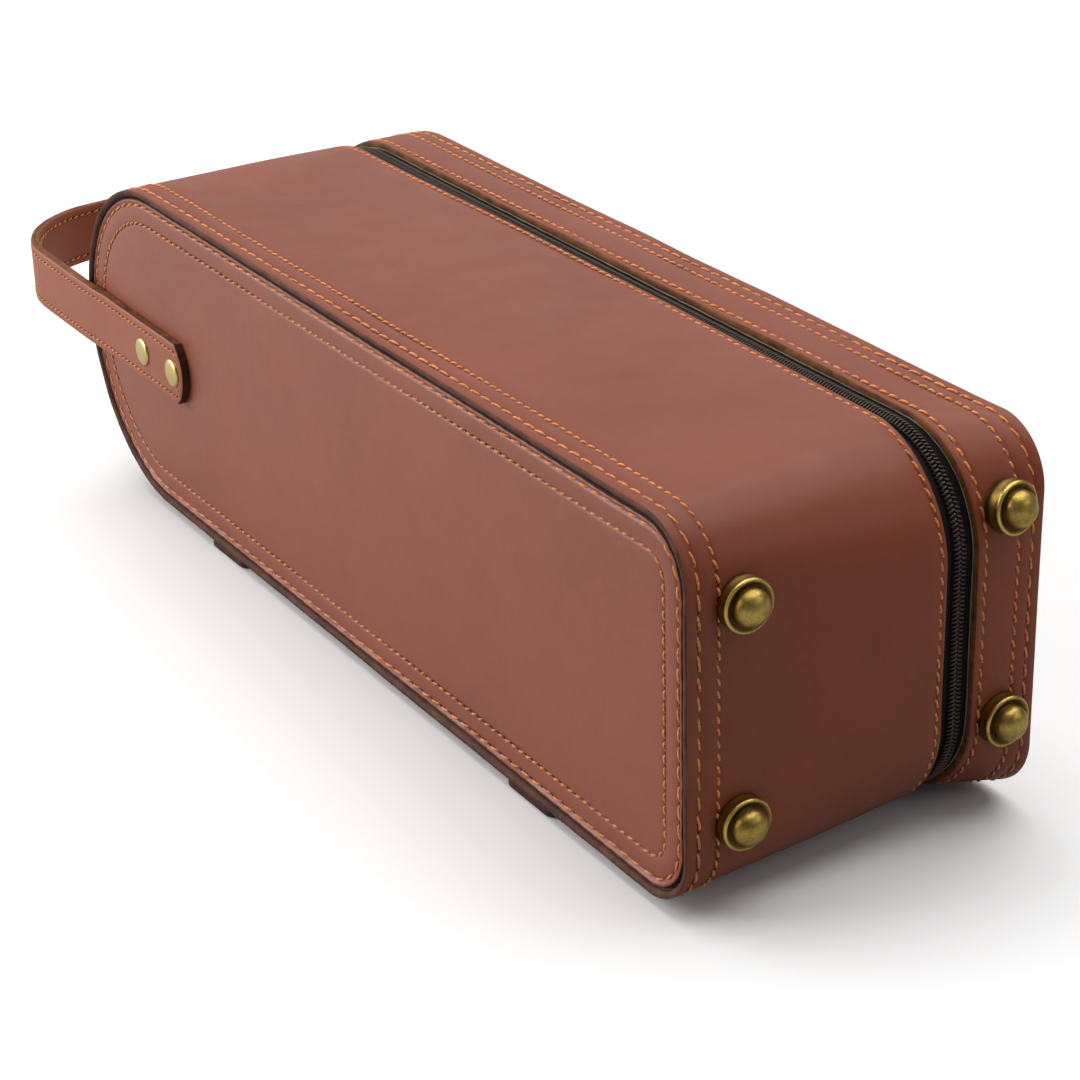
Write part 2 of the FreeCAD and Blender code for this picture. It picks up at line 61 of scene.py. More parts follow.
case_low, case_high = node_box("case_gusset")
lid_low, lid_high = node_box("lid_gusset")
TOP_END, FRONT, BOTTOM = case_low
BASE_END, CASE_EDGE, TOP = case_high
LID_EDGE, REAR = lid_low[1], lid_high[1]
HALF = (TOP - BOTTOM) / 2
MID = (TOP + BOTTOM) / 2
ROUND_X = TOP_END + HALF
ZIP_Y = (CASE_EDGE + LID_EDGE) / 2
LEATHER = 2.2
CORNER_FACE, CORNER_ZIP = 16.0, 29.0
PANEL_RECESS = node_box("front_panel")[0][1] - FRONT
WAVE_COUNT = 7
LONG_RUN, ZIP_FINE = 250, 3


# ---- outlines and noise

def corner_at(y):
    """Radius of the base corners at a place across the case."""
    if y < ZIP_Y:
        share = (y - FRONT) / (CASE_EDGE - FRONT)
    else:
        share = (REAR - y) / (REAR - LID_EDGE)
    return CORNER_FACE + (CORNER_ZIP - CORNER_FACE) * min(max(share, 0.0), 1.0)


def outline(inset, corner, fine=1):
    """Points (x, z) and normals of the case's outline, from the bottom round the base to the end."""
    half = HALF - inset
    base = BASE_END - inset
    radius = max(corner - inset, 0.25)
    lines = [((ROUND_X, -half), (base - radius, -half), LONG_RUN, (0, -1)),
             ((base - radius, radius - half), radius, -90, 0, 28),
             ((base, radius - half), (base, half - radius), 60, (1, 0)),
             ((base - radius, half - radius), radius, 0, 90, 28),
             ((base - radius, half), (ROUND_X, half), LONG_RUN, (0, 1)),
             ((ROUND_X, 0.0), half, 90, 270, 140)]
    points, normals = [], []
    for run in lines:
        if len(run) == 4:
            start, end, count, normal = run
            steps = count * fine
            t = (np.arange(steps) / steps)[:, None]
            points.append(np.array(start) + (np.array(end) - np.array(start)) * t)
            normals.append(np.repeat([normal], len(t), 0).astype(float))
        else:
            centre, r, first, last, count = run
            steps = count * fine
            turn = np.radians(first + (last - first) * np.arange(steps) / steps)
            spoke = np.stack([np.cos(turn), np.sin(turn)], 1)
            points.append(np.array(centre) + spoke * r)
            normals.append(spoke)
    points = np.concatenate(points)
    points[:, 1] += MID
    return points, np.concatenate(normals)


def waves(points, size, seed):
    """Smooth random heights between about -1 and 1 at points, with bumps about size apart."""
    source = np.random.default_rng(seed)
    total = np.zeros(len(points))
    for _ in range(WAVE_COUNT):
        direction = source.normal(size=3)
        direction /= np.linalg.norm(direction)
        pitch = size * source.uniform(0.7, 1.8)
        total += np.sin(points @ direction * 2 * math.pi / pitch + source.uniform(0, 6.3))
    return total / math.sqrt(WAVE_COUNT) / 1.4


# ---- lines and mesh helpers

def circle(count):
    """Angles of count places round a circle."""
    return np.arange(count) * 2 * math.pi / count


def unit(vectors):
    return vectors / np.linalg.norm(vectors, axis=1, keepdims=True)


def distances(points):
    """Distance along a line of points to each of them."""
    steps = np.linalg.norm(np.diff(points, axis=0), axis=1)
    return np.concatenate([[0], np.cumsum(steps)])


def linked(name, data):
    item = bpy.data.objects.new(name, data)
    bpy.context.scene.collection.objects.link(item)
    return item


def make_object(name, vertices, faces, materials, indices=None, sharp=40, fix_normals=True):
    mesh = bpy.data.meshes.new(name)
    mesh.from_pydata((np.asarray(vertices) * MM).tolist(), [], [list(map(int, f)) for f in faces])
    for material in materials:
        mesh.materials.append(material)
    if indices is not None:
        mesh.polygons.foreach_set("material_index", np.asarray(indices, np.int32))
    if fix_normals:
        work = bmesh.new()
        work.from_mesh(mesh)
        bmesh.ops.recalc_face_normals(work, faces=work.faces)
        work.to_mesh(mesh)
        work.free()
    mesh.shade_smooth()
    if sharp:
        mesh.set_sharp_from_angle(angle=math.radians(sharp))
    return linked(name, mesh)


def grid_faces(rows, columns, wrap_rows=False, wrap_columns=True, start=0):
    """Quads of a grid of rows by columns, numbered from start."""
    r = np.arange(rows if wrap_rows else rows - 1)
    c = np.arange(columns if wrap_columns else columns - 1)
    r, c = [a.ravel() for a in np.meshgrid(r, c, indexing="ij")]
    r1, c1 = (r + 1) % rows, (c + 1) % columns
    return start + np.stack([r * columns + c, r * columns + c1, r1 * columns + c1, r1 * columns + c], 1)


# ---- materials

def linear(colour):
    """Scene-linear values of a colour given as 0 to 255 display values."""
    return [((c / 255 + 0.055) / 1.055) ** 2.4 if c > 10 else c / 255 / 12.92 for c in colour]


class Shader:
    """A small builder for a procedural material."""

    def __init__(self, name, **values):
        self.material = bpy.data.materials.new(name)
        self.material.use_nodes = True
        self.tree = self.material.node_tree
        self.tree.nodes.clear()
        out = self.tree.nodes.new("ShaderNodeOutputMaterial")
        self.bsdf = self.tree.nodes.new("ShaderNodeBsdfPrincipled")
        self.tree.links.new(self.bsdf.outputs[0], out.inputs[0])
        self.place = self.tree.nodes.new("ShaderNodeTexCoord").outputs["Object"]
        for key, value in values.items():
            self.bsdf.inputs[key.replace("_", " ")].default_value = value
        self.height = None

    def node(self, kind, **inputs):
        """Add a node; inputs are named, or numbered as i0, i1 and so on."""
        item = self.tree.nodes.new("ShaderNode" + kind)
        for key, value in inputs.items():
            target = item.inputs[int(key[1:]) if key[1:].isdigit() else key]
            if hasattr(value, "is_output"):
                self.tree.links.new(value, target)
            else:
                target.default_value = value
        return item

    def noise(self, scale, detail=3.0, rough=0.55, stretch=None):
        place = self.place
        if stretch:
            place = self.node("Mapping", Vector=place, Scale=stretch).outputs[0]
        item = self.node("TexNoise", Vector=place, Scale=scale, Detail=detail, Roughness=rough)
        return item.outputs[0]

    def voronoi(self, scale):
        return self.node("TexVoronoi", Vector=self.place, Scale=scale).outputs["Distance"]

    def wave(self, scale, direction, distortion):
        item = self.node("TexWave", Vector=self.place, Scale=scale, Distortion=distortion)
        item.bands_direction = direction
        return item.outputs["Fac"]

    def attribute(self, name):
        item = self.tree.nodes.new("ShaderNodeAttribute")
        item.attribute_name = name
        return item.outputs["Fac"]

    def math(self, operation, a, b):
        item = self.node("Math", i0=a, i1=b)
        item.operation = operation
        return item.outputs[0]

    def spread(self, value, low, high, to_low=0.0, to_high=1.0):
        """Map the range low to high onto to_low to to_high."""
        limits = {"From Min": low, "From Max": high, "To Min": to_low, "To Max": to_high}
        return self.node("MapRange", Value=value, **limits).outputs[0]

    def ramp(self, value, stops):
        item = self.node("ValToRGB", Fac=value)
        colours = item.color_ramp
        while len(colours.elements) < len(stops):
            colours.elements.new(0.5)
        for element, (where, colour) in zip(colours.elements, stops):
            element.position = where
            element.color = (*linear(colour), 1.0)
        return item.outputs[0]

    def mix(self, share, first, second):
        first, second = [c if hasattr(c, "is_output") else (*linear(c), 1.0) for c in (first, second)]
        return self.node("MixRGB", i0=share, i1=first, i2=second).outputs[0]

    def mixed(self, first, second, share):
        """A weighted sum of two values, with share as the weight of the first."""
        return self.math("ADD", self.math("MULTIPLY", first, share),
                         self.math("MULTIPLY", second, 1 - share))

    def put(self, name, value):
        self.tree.links.new(value, self.bsdf.inputs[name])

    def bump(self, height, distance, strength=1.0):
        """Add a layer of relief; distance is in millimetres."""
        item = self.node("Bump", Height=height, Strength=strength)
        item.inputs["Distance"].default_value = distance * MM
        if self.height is not None:
            self.tree.links.new(self.height, item.inputs["Normal"])
        self.height = item.outputs[0]
        self.put("Normal", self.height)


def scaled(colour, factor):
    return [min(255, c * factor) for c in colour]


def smooth_leather(name, colour, gloss=0.42, specular=0.34, coat=0.08):
    """Finished leather: faint mottling, fine grain, pores and a soft coat."""
    dark = scaled(colour, 0.95)
    light = scaled(colour, 1.04)
    s = Shader(name, Coat_Weight=coat, Coat_Roughness=0.28, Specular_IOR_Level=specular,
               Sheen_Weight=0.02, Sheen_Roughness=0.5)
    broad = s.noise(14, 4, 0.6)
    fine = s.noise(420, 4, 0.6)
    cells = s.voronoi(1500)
    tone = s.ramp(s.mixed(broad, fine, 0.75), [(0.36, dark), (0.50, colour), (0.66, light)])
    speck = s.spread(s.noise(2600, 2, 0.5), 0.62, 0.78)
    tone = s.mix(s.math("MULTIPLY", speck, 0.16), tone, scaled(colour, 0.7))
    s.put("Base Color", tone)
    s.put("Roughness", s.spread(s.noise(60, 3, 0.6), 0.3, 0.7, gloss - 0.05, gloss + 0.07))
    s.bump(s.noise(30, 3, 0.5), 0.12, 0.5)
    s.bump(cells, 0.035, 0.5)
    s.bump(fine, 0.05, 0.5)
    return s.material


def raw_edge(name, colour, dark_share=0.5):
    """Cut and dyed leather edge: packed fibres along the edge, darker in patches."""
    s = Shader(name, Specular_IOR_Level=0.3)
    fibres = s.noise(900, 5, 0.7)
    patch = s.noise(180, 3, 0.6)
    s.put("Base Color", s.ramp(s.mixed(fibres, patch, 0.5),
                               [(0.34, scaled(colour, dark_share)), (0.52, colour),
                                (0.70, scaled(colour, 1.35))]))
    s.put("Roughness", s.spread(fibres, 0.3, 0.7, 0.55, 0.85))
    s.bump(fibres, 0.18, 0.8)
    s.bump(patch, 0.25, 0.6)
    return s.material


def suede(name, colour):
    s = Shader(name, Sheen_Weight=0.35, Sheen_Roughness=0.45, Specular_IOR_Level=0.15)
    nap = s.noise(1400, 5, 0.75)
    brushed = s.noise(25, 4, 0.65, stretch=(1.0, 1.6, 1.0))
    s.put("Base Color", s.ramp(s.mixed(nap, brushed, 0.45),
                               [(0.36, scaled(colour, 0.72)), (0.5, colour),
                                (0.66, scaled(colour, 1.16))]))
    s.put("Roughness", s.spread(nap, 0.3, 0.7, 0.8, 0.96))
    s.bump(nap, 0.12, 0.7)
    return s.material


def woven_tape(name, colour):
    s = Shader(name, Specular_IOR_Level=0.2)
    rib = s.wave(260, "Y", 0.6)
    weft = s.noise(1500, 3, 0.6)
    both = s.math("MULTIPLY", rib, weft)
    s.put("Base Color", s.ramp(both, [(0.1, scaled(colour, 0.6)), (0.35, colour),
                                      (0.7, scaled(colour, 1.5))]))
    s.put("Roughness", s.spread(weft, 0.3, 0.7, 0.7, 0.9))
    s.bump(both, 0.18, 0.9)
    return s.material


def nylon(name, colour):
    s = Shader(name, Specular_IOR_Level=0.5)
    fine = s.noise(900, 3, 0.5)
    s.put("Base Color", s.ramp(fine, [(0.3, scaled(colour, 0.7)), (0.55, colour),
                                      (0.75, scaled(colour, 1.4))]))
    s.put("Roughness", s.spread(fine, 0.3, 0.7, 0.26, 0.42))
    s.bump(fine, 0.03, 0.5)
    return s.material


def waxed_thread(name, colour):
    """Waxed thread: fine strands, darker between them and dirty in places."""
    s = Shader(name, Sheen_Weight=0.2, Sheen_Roughness=0.5, Specular_IOR_Level=0.35)
    strand = s.noise(1500, 3, 0.6)
    patch = s.noise(70, 3, 0.6)
    tone = s.ramp(strand, [(0.32, scaled(colour, 0.66)), (0.5, colour),
                           (0.68, scaled(colour, 1.15))])
    s.put("Base Color", s.mix(s.spread(patch, 0.5, 0.72, 0.0, 0.45), tone, scaled(colour, 0.6)))
    s.put("Roughness", s.spread(strand, 0.3, 0.7, 0.5, 0.7))
    s.bump(strand, 0.12, 0.8)
    return s.material


def antique_brass(name, bright, mid, dark, rough=0.30, depth=0.5):
    """Brass with brown patina left in recesses (the attribute "recess") and in blotches."""
    s = Shader(name, Metallic=1.0)
    blotch = s.noise(260, 5, 0.65)
    fine = s.noise(1500, 4, 0.6)
    recess = s.attribute("recess")
    age = s.math("ADD", s.math("MULTIPLY", recess, 0.75),
                 s.math("MULTIPLY", s.mixed(blotch, fine, 0.6), depth))
    s.put("Base Color", s.ramp(age, [(0.16, bright), (0.34, mid), (0.85, dark)]))
    s.put("Roughness", s.spread(age, 0.1, 0.9, rough, rough + 0.22))
    s.bump(blotch, 0.10, 0.5)
    s.bump(fine, 0.03, 0.5)
    s.bump(s.voronoi(420), 0.05, 0.35)
    return s.material


def board(name, colour):
    s = Shader(name, Specular_IOR_Level=0.2)
    fibre = s.noise(500, 5, 0.7, stretch=(1.0, 0.3, 1.0))
    s.put("Base Color", s.ramp(fibre, [(0.35, scaled(colour, 0.8)), (0.65, colour)]))
    s.put("Roughness", s.spread(fibre, 0.3, 0.7, 0.8, 0.95))
    s.bump(fibre, 0.1, 0.6)
    return s.material


LEATHER_TONE = (132, 66, 43)
leather = smooth_leather("smooth_leather", LEATHER_TONE, specular=0.24, coat=0.05)
panel_skin = smooth_leather("panel_leather", (145, 79, 57), specular=0.4)
strap_skin = smooth_leather("strap_leather", (155, 86, 59), gloss=0.45)
dark_edge = raw_edge("dark_raw_edge", (72, 46, 36))
tip_edge = raw_edge("strap_tip_edge", (74, 40, 22))
red_edge = raw_edge("gusset_raw_edge", (88, 52, 40))
gold_edge = raw_edge("golden_raw_edge", (116, 70, 30))
strap_edge = raw_edge("strap_long_edge", (112, 66, 32), 0.42)
zip_edge = raw_edge("zip_side_raw_edge", (98, 62, 40))
flesh = suede("flesh_side", (128, 84, 60))
lining_skin = suede("suede_lining", (168, 128, 96))
tape_skin = woven_tape("zip_tape", (24, 17, 15))
coil_skin = nylon("zip_coil", (64, 46, 38))
thread_skin = waxed_thread("waxed_thread", (226, 136, 70))
# Needle holes are drawn as flat dark discs: painted shade where the holes would be shadowed.
hole_shade_skin = raw_edge("needle_hole_painted_shade", (62, 30, 22))
foot_metal = antique_brass("antique_brass", (216, 188, 106), (160, 130, 62), (74, 52, 34), 0.32, 0.62)
rivet_metal = antique_brass("pale_brass", (228, 210, 140), (200, 178, 104), (130, 104, 60), 0.3, 0.4)
slider_metal = antique_brass("zip_metal", (200, 180, 112), (140, 118, 62), (60, 46, 32))
steel = antique_brass("washer_steel", (190, 188, 184), (160, 158, 154), (96, 92, 88), 0.35)
board_skin = board("stiff_board", (168, 158, 140))
cream = suede("tape_selvedge", (150, 140, 122))


# ---- leather walls

def groove(at, depth=0.34, width=1.0):
    """Profile points of the shallow channel that a row of stitches pulls into the leather."""
    shape = ((-1.0, 0.02), (-0.62, -0.2), (-0.3, -0.75), (0.0, -1.0), (0.3, -0.75), (0.62, -0.2),
             (1.0, 0.02))
    return [(at + across * width, deep * depth) for across, deep in shape]


def crowned(start, end, count, rise):
    """Points between two seams, standing proud by rise in the middle."""
    t = np.linspace(0, 1, count + 2)[1:-1]
    return [(start + (end - start) * a, rise * math.sin(math.pi * a) ** 0.7) for a in t]


def eased(value, start, end):
    """0 before start, 1 after end and a smooth step between."""
    share = np.clip((value - start) / (end - start), 0, 1)
    return share * share * (3 - 2 * share)


def pulled(x, y, z):
    """How far the front wall's zip edge stands back: it opens on the base and closes in on top."""
    back = 1.0 * eased(x, BASE_END - 32, BASE_END - 6)
    closed_in = 2.0 * eased(x, -38, 70) * (1 - eased(x, 80, 225)) * eased(z, MID + 10, TOP - 8)
    return (back - closed_in) * np.clip((y - (CASE_EDGE - 6)) / 4, 0, 1) * (y < ZIP_Y)


def swept_wall(name, outer, inner, edge_material, front_edge, back_edge, seed):
    """A leather wall round the case. Profiles are (y, outward) from front to back.

    outer is the outside surface and inner the inside; back_edge and front_edge are the cut edges that
    join them, with the first of edge_material at the back and the second at the front.
    """
    rows = outer + back_edge + inner + front_edge
    rings = []
    for y, outward in rows:
        points, _ = outline(-outward, corner_at(y))
        rings.append(np.column_stack([points[:, 0], np.full(len(points), y), points[:, 1]]))
    vertices = np.concatenate(rings)
    columns = len(rings[0])
    _, normals = outline(0, CORNER_FACE)
    shift = waves(vertices, 70, seed) * 0.22 + waves(vertices, 24, seed + 1) * 0.05
    proud = np.repeat([row in outer for row in rows], columns)
    sideways = np.tile(normals, (len(rows), 1))
    vertices[:, 0] += sideways[:, 0] * shift * proud
    vertices[:, 2] += sideways[:, 1] * shift * proud
    edge_rows = np.repeat([row in back_edge or row in front_edge for row in rows], columns)
    vertices[:, 1] += waves(vertices, 9, seed + 2) * 0.07 * edge_rows
    vertices[:, 1] -= pulled(*vertices.T)
    faces = grid_faces(len(rows), columns, wrap_rows=True)
    kinds = []
    for index in range(len(rows)):
        pair = rows[index], rows[(index + 1) % len(rows)]
        if all(row in outer for row in pair):
            kinds.append(0)
        elif all(row in inner for row in pair):
            kinds.append(2)
        elif pair[0] in outer or pair[0] in back_edge or pair[1] in back_edge:
            kinds.append(1)
        else:
            kinds.append(3)
    return make_object(name, vertices, faces, [leather, edge_material[0], flesh, edge_material[1]],
                       np.repeat(kinds, columns))


SEAM_FRONT_A, SEAM_FRONT_B, SEAM_CASE_ZIP = FRONT + 3.6, FRONT + 8.9, CASE_EDGE - 1.7
SEAM_LID_ZIP, SEAM_REAR_B, SEAM_REAR_A = LID_EDGE + 2.3, REAR - 7.4, REAR - 3.2

case_outer = ([(FRONT + 0.35, -0.16), (FRONT + 0.8, -0.02), (FRONT + 1.7, 0.06)]
              + groove(SEAM_FRONT_A) + crowned(SEAM_FRONT_A + 1, SEAM_FRONT_B - 1, 3, 0.14)
              + groove(SEAM_FRONT_B, 0.26) + crowned(SEAM_FRONT_B + 1, SEAM_CASE_ZIP - 1, 16, 0.25)
              + groove(SEAM_CASE_ZIP, 0.26, 0.8)
              + [(CASE_EDGE - 0.5, 0.0), (CASE_EDGE - 0.16, -0.12)])
case_inner = [(CASE_EDGE - 0.3, -LEATHER), (CASE_EDGE - 25, -LEATHER), (FRONT + 25, -LEATHER),
              (FRONT + 1.6, -LEATHER)]
case_back_edge = [(CASE_EDGE, -0.5), (CASE_EDGE, -1.1), (CASE_EDGE, -1.8)]
case_front_edge = [(FRONT + 0.9, -2.05), (FRONT + 0.32, -1.62), (FRONT + 0.02, -1.0),
                   (FRONT + 0.08, -0.45)]
case_wall = swept_wall("case_gusset_leather", case_outer, case_inner, [zip_edge, red_edge],
                       case_front_edge, case_back_edge, 21)

lid_outer = ([(LID_EDGE + 0.16, -0.12), (LID_EDGE + 0.5, 0.0), (LID_EDGE + 1.1, 0.04)]
             + groove(SEAM_LID_ZIP, 0.3) + crowned(SEAM_LID_ZIP + 1, SEAM_REAR_B - 1, 6, 0.16)
             + groove(SEAM_REAR_B, 0.26) + crowned(SEAM_REAR_B + 1, SEAM_REAR_A - 1, 2, 0.08)
             + groove(SEAM_REAR_A, 0.34)
             + [(REAR - 1.4, 0.05), (REAR - 0.7, -0.02), (REAR - 0.3, -0.16)])
lid_back_edge = [(REAR - 0.08, -0.45), (REAR - 0.02, -1.0), (REAR - 0.32, -1.62), (REAR - 0.9, -2.05)]
lid_inner = [(REAR - 1.6, -LEATHER), (REAR - 9, -LEATHER), (LID_EDGE + 6, -LEATHER),
             (LID_EDGE + 0.3, -LEATHER)]
lid_front_edge = [(LID_EDGE, -1.8), (LID_EDGE, -1.1), (LID_EDGE, -0.5)]
lid_wall = swept_wall("lid_gusset_leather", lid_outer, lid_inner, [red_edge, gold_edge],
                      lid_front_edge, lid_back_edge, 31)
for wall, body in ((case_wall, "case"), (lid_wall, "lid")):
    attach(wall, body)
    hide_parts(body + "_gusset")


# ---- front and rear panels

FACE_SEAM_A, FACE_SEAM_B, FACE_PITCH = 4.6, 10.3, 5.1
PANEL_CORNER = 17.0


def panel_rows():
    """(inset, proud height) from the back edge of the panel over its cut edge to the middle."""
    edge = [(3.3, -2.36), (2.75, -2.3), (2.66, -1.9), (2.62, -1.2), (2.66, -0.55), (2.78, -0.08),
            (2.98, 0.16), (3.26, 0.28)]
    strip = [(3.55, 0.24)] + groove(FACE_SEAM_A, 0.42, 0.88)
    between = [(FACE_SEAM_A + 0.9 + a, 0.12 * math.sin(math.pi * a / 3.9) + 0.04)
               for a in (0.7, 1.5, 2.4, 3.2)]
    middle = [(inset, 0.06)
              for inset in (12.0, 13.2, 15, 17.5, 20.5, 24, 28, 32, 36, 40, 44, 47.5, 49.7)]
    return edge + strip + between + groove(FACE_SEAM_B, 0.34, 0.95) + middle


def panel_crown(points):
    """How far the panel swells at points (x, z) inside its inner seam, with no ridges in it."""
    reach = HALF - 11.3
    away = points - np.array([ROUND_X, MID])
    away[:, 0] = np.minimum(away[:, 0], 0.0)
    dome = 1 - (np.linalg.norm(away, axis=1) / reach) ** 4
    toward_base = 1 - np.exp(-(BASE_END - 11.3 - points[:, 0]) / 14)
    return 0.55 * np.clip(dome, 0, 1) * np.clip(toward_base, 0, 1)


def build_panel(name, side, seed):
    """side is -1 at the front and +1 on the lid."""
    surface = (FRONT + PANEL_RECESS) if side < 0 else (REAR - PANEL_RECESS)
    rows = panel_rows()
    rings = []
    for inset, proud in rows:
        points, _ = outline(inset, PANEL_CORNER)
        length = distances(points)
        scallop = np.zeros(len(points))
        if inset < 4.4:
            scallop = 0.07 * np.cos(length * 2 * math.pi / FACE_PITCH) * min(1, (4.6 - inset) / 1.5)
        crown = panel_crown(points) if inset > 11.2 else 0.0
        level = surface + side * (proud + scallop + crown)
        rings.append(np.column_stack([points[:, 0], level, points[:, 1]]))
    vertices = np.concatenate(rings)
    columns = len(rings[0])
    shift = waves(vertices, 90, seed) * 0.20 + waves(vertices, 30, seed + 1) * 0.04
    edge_zone = np.repeat([inset < 4.0 and proud > -1 for inset, proud in rows], columns)
    shift += waves(vertices, 8, seed + 2) * 0.10 * edge_zone
    flat = np.repeat([proud > -1 for _, proud in rows], columns)
    vertices[:, 1] += side * shift * flat
    faces = [tuple(f) for f in grid_faces(len(rows), columns)]
    kinds = list(np.repeat([1 if rows[i][0] < 2.9 or rows[i][1] < -1 else 0
                            for i in range(len(rows) - 1)], columns))
    last = (len(rows) - 1) * columns
    faces.append(tuple(range(last, last + columns)))
    faces.append(tuple(range(columns - 1, -1, -1)))
    kinds += [0, 2]
    return make_object(name, vertices, faces, [panel_skin, dark_edge, flesh], kinds)


for panel_name, side, seed, body in (("front_panel", -1, 41, "case"), ("rear_panel", 1, 51, "lid")):
    panel = build_panel(panel_name + "_leather", side, seed)
    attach(panel, body)
    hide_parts(panel_name)


# ---- stitches

SIDES, RINGS, HOLE_SHADE_SIDES = 6, 8, 8


def stitch_template():
    """One stitch: places along, height and half thickness, each as shares of the stitch."""
    t = np.linspace(0, 1, RINGS)
    along = t - 0.5
    lift = 1 - np.abs(2 * t - 1) ** 3.0
    girth = np.clip(1 - np.abs(2 * t - 1) ** 6, 0.35, 1)
    return along, lift, girth


def sew(name, path, normals, pitch, body, gap=0.75, girth=0.38, slant=0.32, lift=0.27, seed=3):
    """A closed row of stitches, with a flat dark disc of painted shade standing for a needle hole
    between each two.

    girth is half the thread and slant its turn across the path. A row with no body is left unattached,
    and its caller bakes its transform.
    """
    source = np.random.default_rng(seed)
    loop = np.concatenate([path, path[:1]])
    facing = np.concatenate([normals, normals[:1]])
    run = distances(loop)
    count = max(1, int(round(run[-1] / pitch)))
    step = run[-1] / count
    centres = (np.arange(count) + 0.5) * step + source.normal(0, 0.06, count)

    def at(where):
        where = np.clip(where, 0, run[-1])
        point = np.stack([np.interp(where, run, loop[:, k]) for k in range(3)], 1)
        up = np.stack([np.interp(where, run, facing[:, k]) for k in range(3)], 1)
        return point, unit(up)

    def heading(where, reach):
        return unit(at(where + reach)[0] - at(where - reach)[0])

    along, rise, thick = stitch_template()
    length = step - gap
    size = length * source.uniform(0.93, 1.05, count)
    tilt = source.normal(slant, 0.08, count)
    where = (centres[:, None] + along[None, :] * size[:, None]).ravel()
    point, up = at(where)
    forward = heading(where, 0.4)
    side = np.cross(up, forward)
    lateral = (tilt[:, None] * 2 * along[None, :]).ravel()
    lateral += np.repeat(source.normal(0, 0.05, count), RINGS)
    height = np.tile(rise * (lift + girth * 0.55) - girth * 0.55, count)
    centre = point + side * lateral[:, None] + up * height[:, None]
    radius = np.tile(thick * girth, count)
    turn = circle(SIDES)
    across, high = [f(turn)[None, :, None] * radius[:, None, None] for f in (np.cos, np.sin)]
    vertices = centre[:, None, :] + side[:, None, :] * across + up[:, None, :] * (high * 0.8)
    vertices = vertices.reshape(-1, 3)
    faces = []
    each = grid_faces(RINGS, SIDES)
    for number in range(count):
        start = number * RINGS * SIDES
        faces += (each + start).tolist()
        faces.append(list(range(start + SIDES - 1, start - 1, -1)))
        faces.append(list(range(start + (RINGS - 1) * SIDES, start + RINGS * SIDES)))
    kinds = [0] * len(faces)
    # Flat dark discs between the stitches: painted shade standing for the needle holes.
    places = np.arange(count) * step
    spots, up_h = at(places)
    forward_h = heading(places, 0.5)
    side_h = np.cross(up_h, forward_h)
    ring = circle(HOLE_SHADE_SIDES)
    base = len(vertices)
    disc = (spots[:, None, :] + up_h[:, None, :] * 0.04
            + forward_h[:, None, :] * (np.cos(ring) * gap * 0.58)[None, :, None]
            + side_h[:, None, :] * (np.sin(ring) * girth * 0.9)[None, :, None])
    top = spots + up_h * 0.02
    vertices = np.concatenate([vertices, disc.reshape(-1, 3), top])
    for number in range(count):
        first = base + number * HOLE_SHADE_SIDES
        tip = base + count * HOLE_SHADE_SIDES + number
        faces += [[first + k, first + (k + 1) % HOLE_SHADE_SIDES, tip] for k in range(HOLE_SHADE_SIDES)]
        kinds += [1] * HOLE_SHADE_SIDES
    item = make_object(name, vertices, faces, [thread_skin, hole_shade_skin], kinds, sharp=0,
                       fix_normals=False)
    if body:
        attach(item, body)
    return item


def wall_path(y, inset):
    points, normals = outline(inset, corner_at(y))
    path = np.column_stack([points[:, 0], y - pulled(points[:, 0], y, points[:, 1]), points[:, 1]])
    up = np.column_stack([normals[:, 0], np.zeros(len(points)), normals[:, 1]])
    return path, up


def face_path(inset, side, sunk):
    surface = (FRONT + PANEL_RECESS) if side < 0 else (REAR - PANEL_RECESS)
    points, _ = outline(inset, PANEL_CORNER)
    path = np.column_stack([points[:, 0], np.full(len(points), surface - side * sunk), points[:, 1]])
    return path, np.repeat([[0.0, float(side), 0.0]], len(points), 0)


WALL_SEAMS = [
    ("seam_front_edge_outer", SEAM_FRONT_A, 5.1, "case", 0.34),
    ("seam_front_edge_inner", SEAM_FRONT_B, 3.2, "case", 0.26),
    ("seam_case_zip", SEAM_CASE_ZIP, 3.6, "case", 0.26),
    ("seam_lid_zip", SEAM_LID_ZIP, 3.8, "lid", 0.30),
    ("seam_rear_edge_inner", SEAM_REAR_B, 3.3, "lid", 0.26),
    ("seam_rear_edge_outer", SEAM_REAR_A, 4.8, "lid", 0.34)]
for number, (name, y, pitch, body, inset) in enumerate(WALL_SEAMS):
    path, up = wall_path(y, inset)
    sew(name, path, up, pitch, body, gap=0.6, seed=60 + number)
for number, (name, inset, pitch, side, body, sunk) in enumerate([
        ("seam_front_panel_outer", FACE_SEAM_A, FACE_PITCH, -1, "case", 0.38),
        ("seam_front_panel_inner", FACE_SEAM_B, 3.35, -1, "case", 0.30),
        ("seam_rear_panel_outer", FACE_SEAM_A, FACE_PITCH, 1, "lid", 0.38),
        ("seam_rear_panel_inner", FACE_SEAM_B, 3.35, 1, "lid", 0.30)]):
    path, up = face_path(inset, side, sunk)
    sew(name, path, up, pitch, body, seed=80 + number)


# ---- zip

def zip_run(inset):
    """The zip's path from the base corner by the hinge, over the base and top, round the end."""
    points, normals = outline(inset, corner_at(ZIP_Y), fine=ZIP_FINE)
    start = LONG_RUN * ZIP_FINE
    return points[start:], normals[start:]


